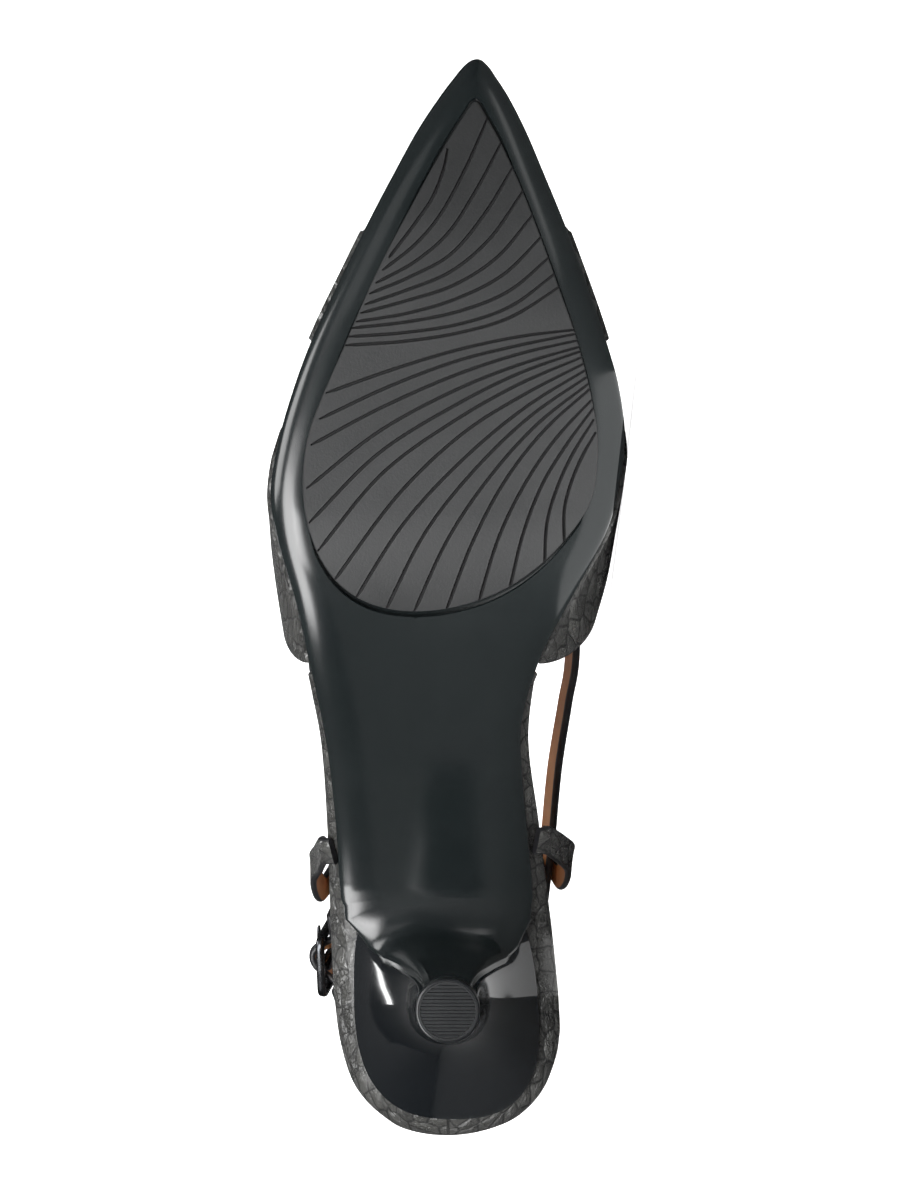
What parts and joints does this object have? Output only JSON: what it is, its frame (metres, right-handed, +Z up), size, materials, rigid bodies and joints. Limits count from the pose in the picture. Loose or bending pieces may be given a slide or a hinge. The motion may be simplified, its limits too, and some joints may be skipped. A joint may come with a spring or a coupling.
{
  "type": "slingback pump",
  "caption": "Pointed slingback pump with a low sculpted heel, raised bands across the vamp, side tabs and a side buckle, lying on its medial side.",
  "frame": {"origin": "middle of the bounding box's underside, on the floor the shoe lies on", "axes": "+X towards the toe, +Y from the sole towards the heel strap, +Z up from the medial side to the lateral side"},
  "size_m": [0.2582, 0.1038, 0.0833],
  "materials": {
    "croc_leather": "gloss, crocodile-embossed",
    "sole_rubber": "smooth gloss",
    "tread_rubber": "matte, ribbed",
    "heel_plastic": "high gloss",
    "lift_rubber": "matte, ribbed",
    "gunmetal": "dark plated"
  },
  "bodies": {
    "root": {"outsole": "sole_rubber", "tread": "tread_rubber", "heel": "heel_plastic", "top_lift": "lift_rubber", "upper": "croc_leather", "footbed": "croc_leather", "sling_strap": "croc_leather", "front_strap": "croc_leather", "buckle": "gunmetal", "buckle_prong": "gunmetal", "medial_tab": "croc_leather", "lateral_tab": "croc_leather"}
  },
  "joints": []
}
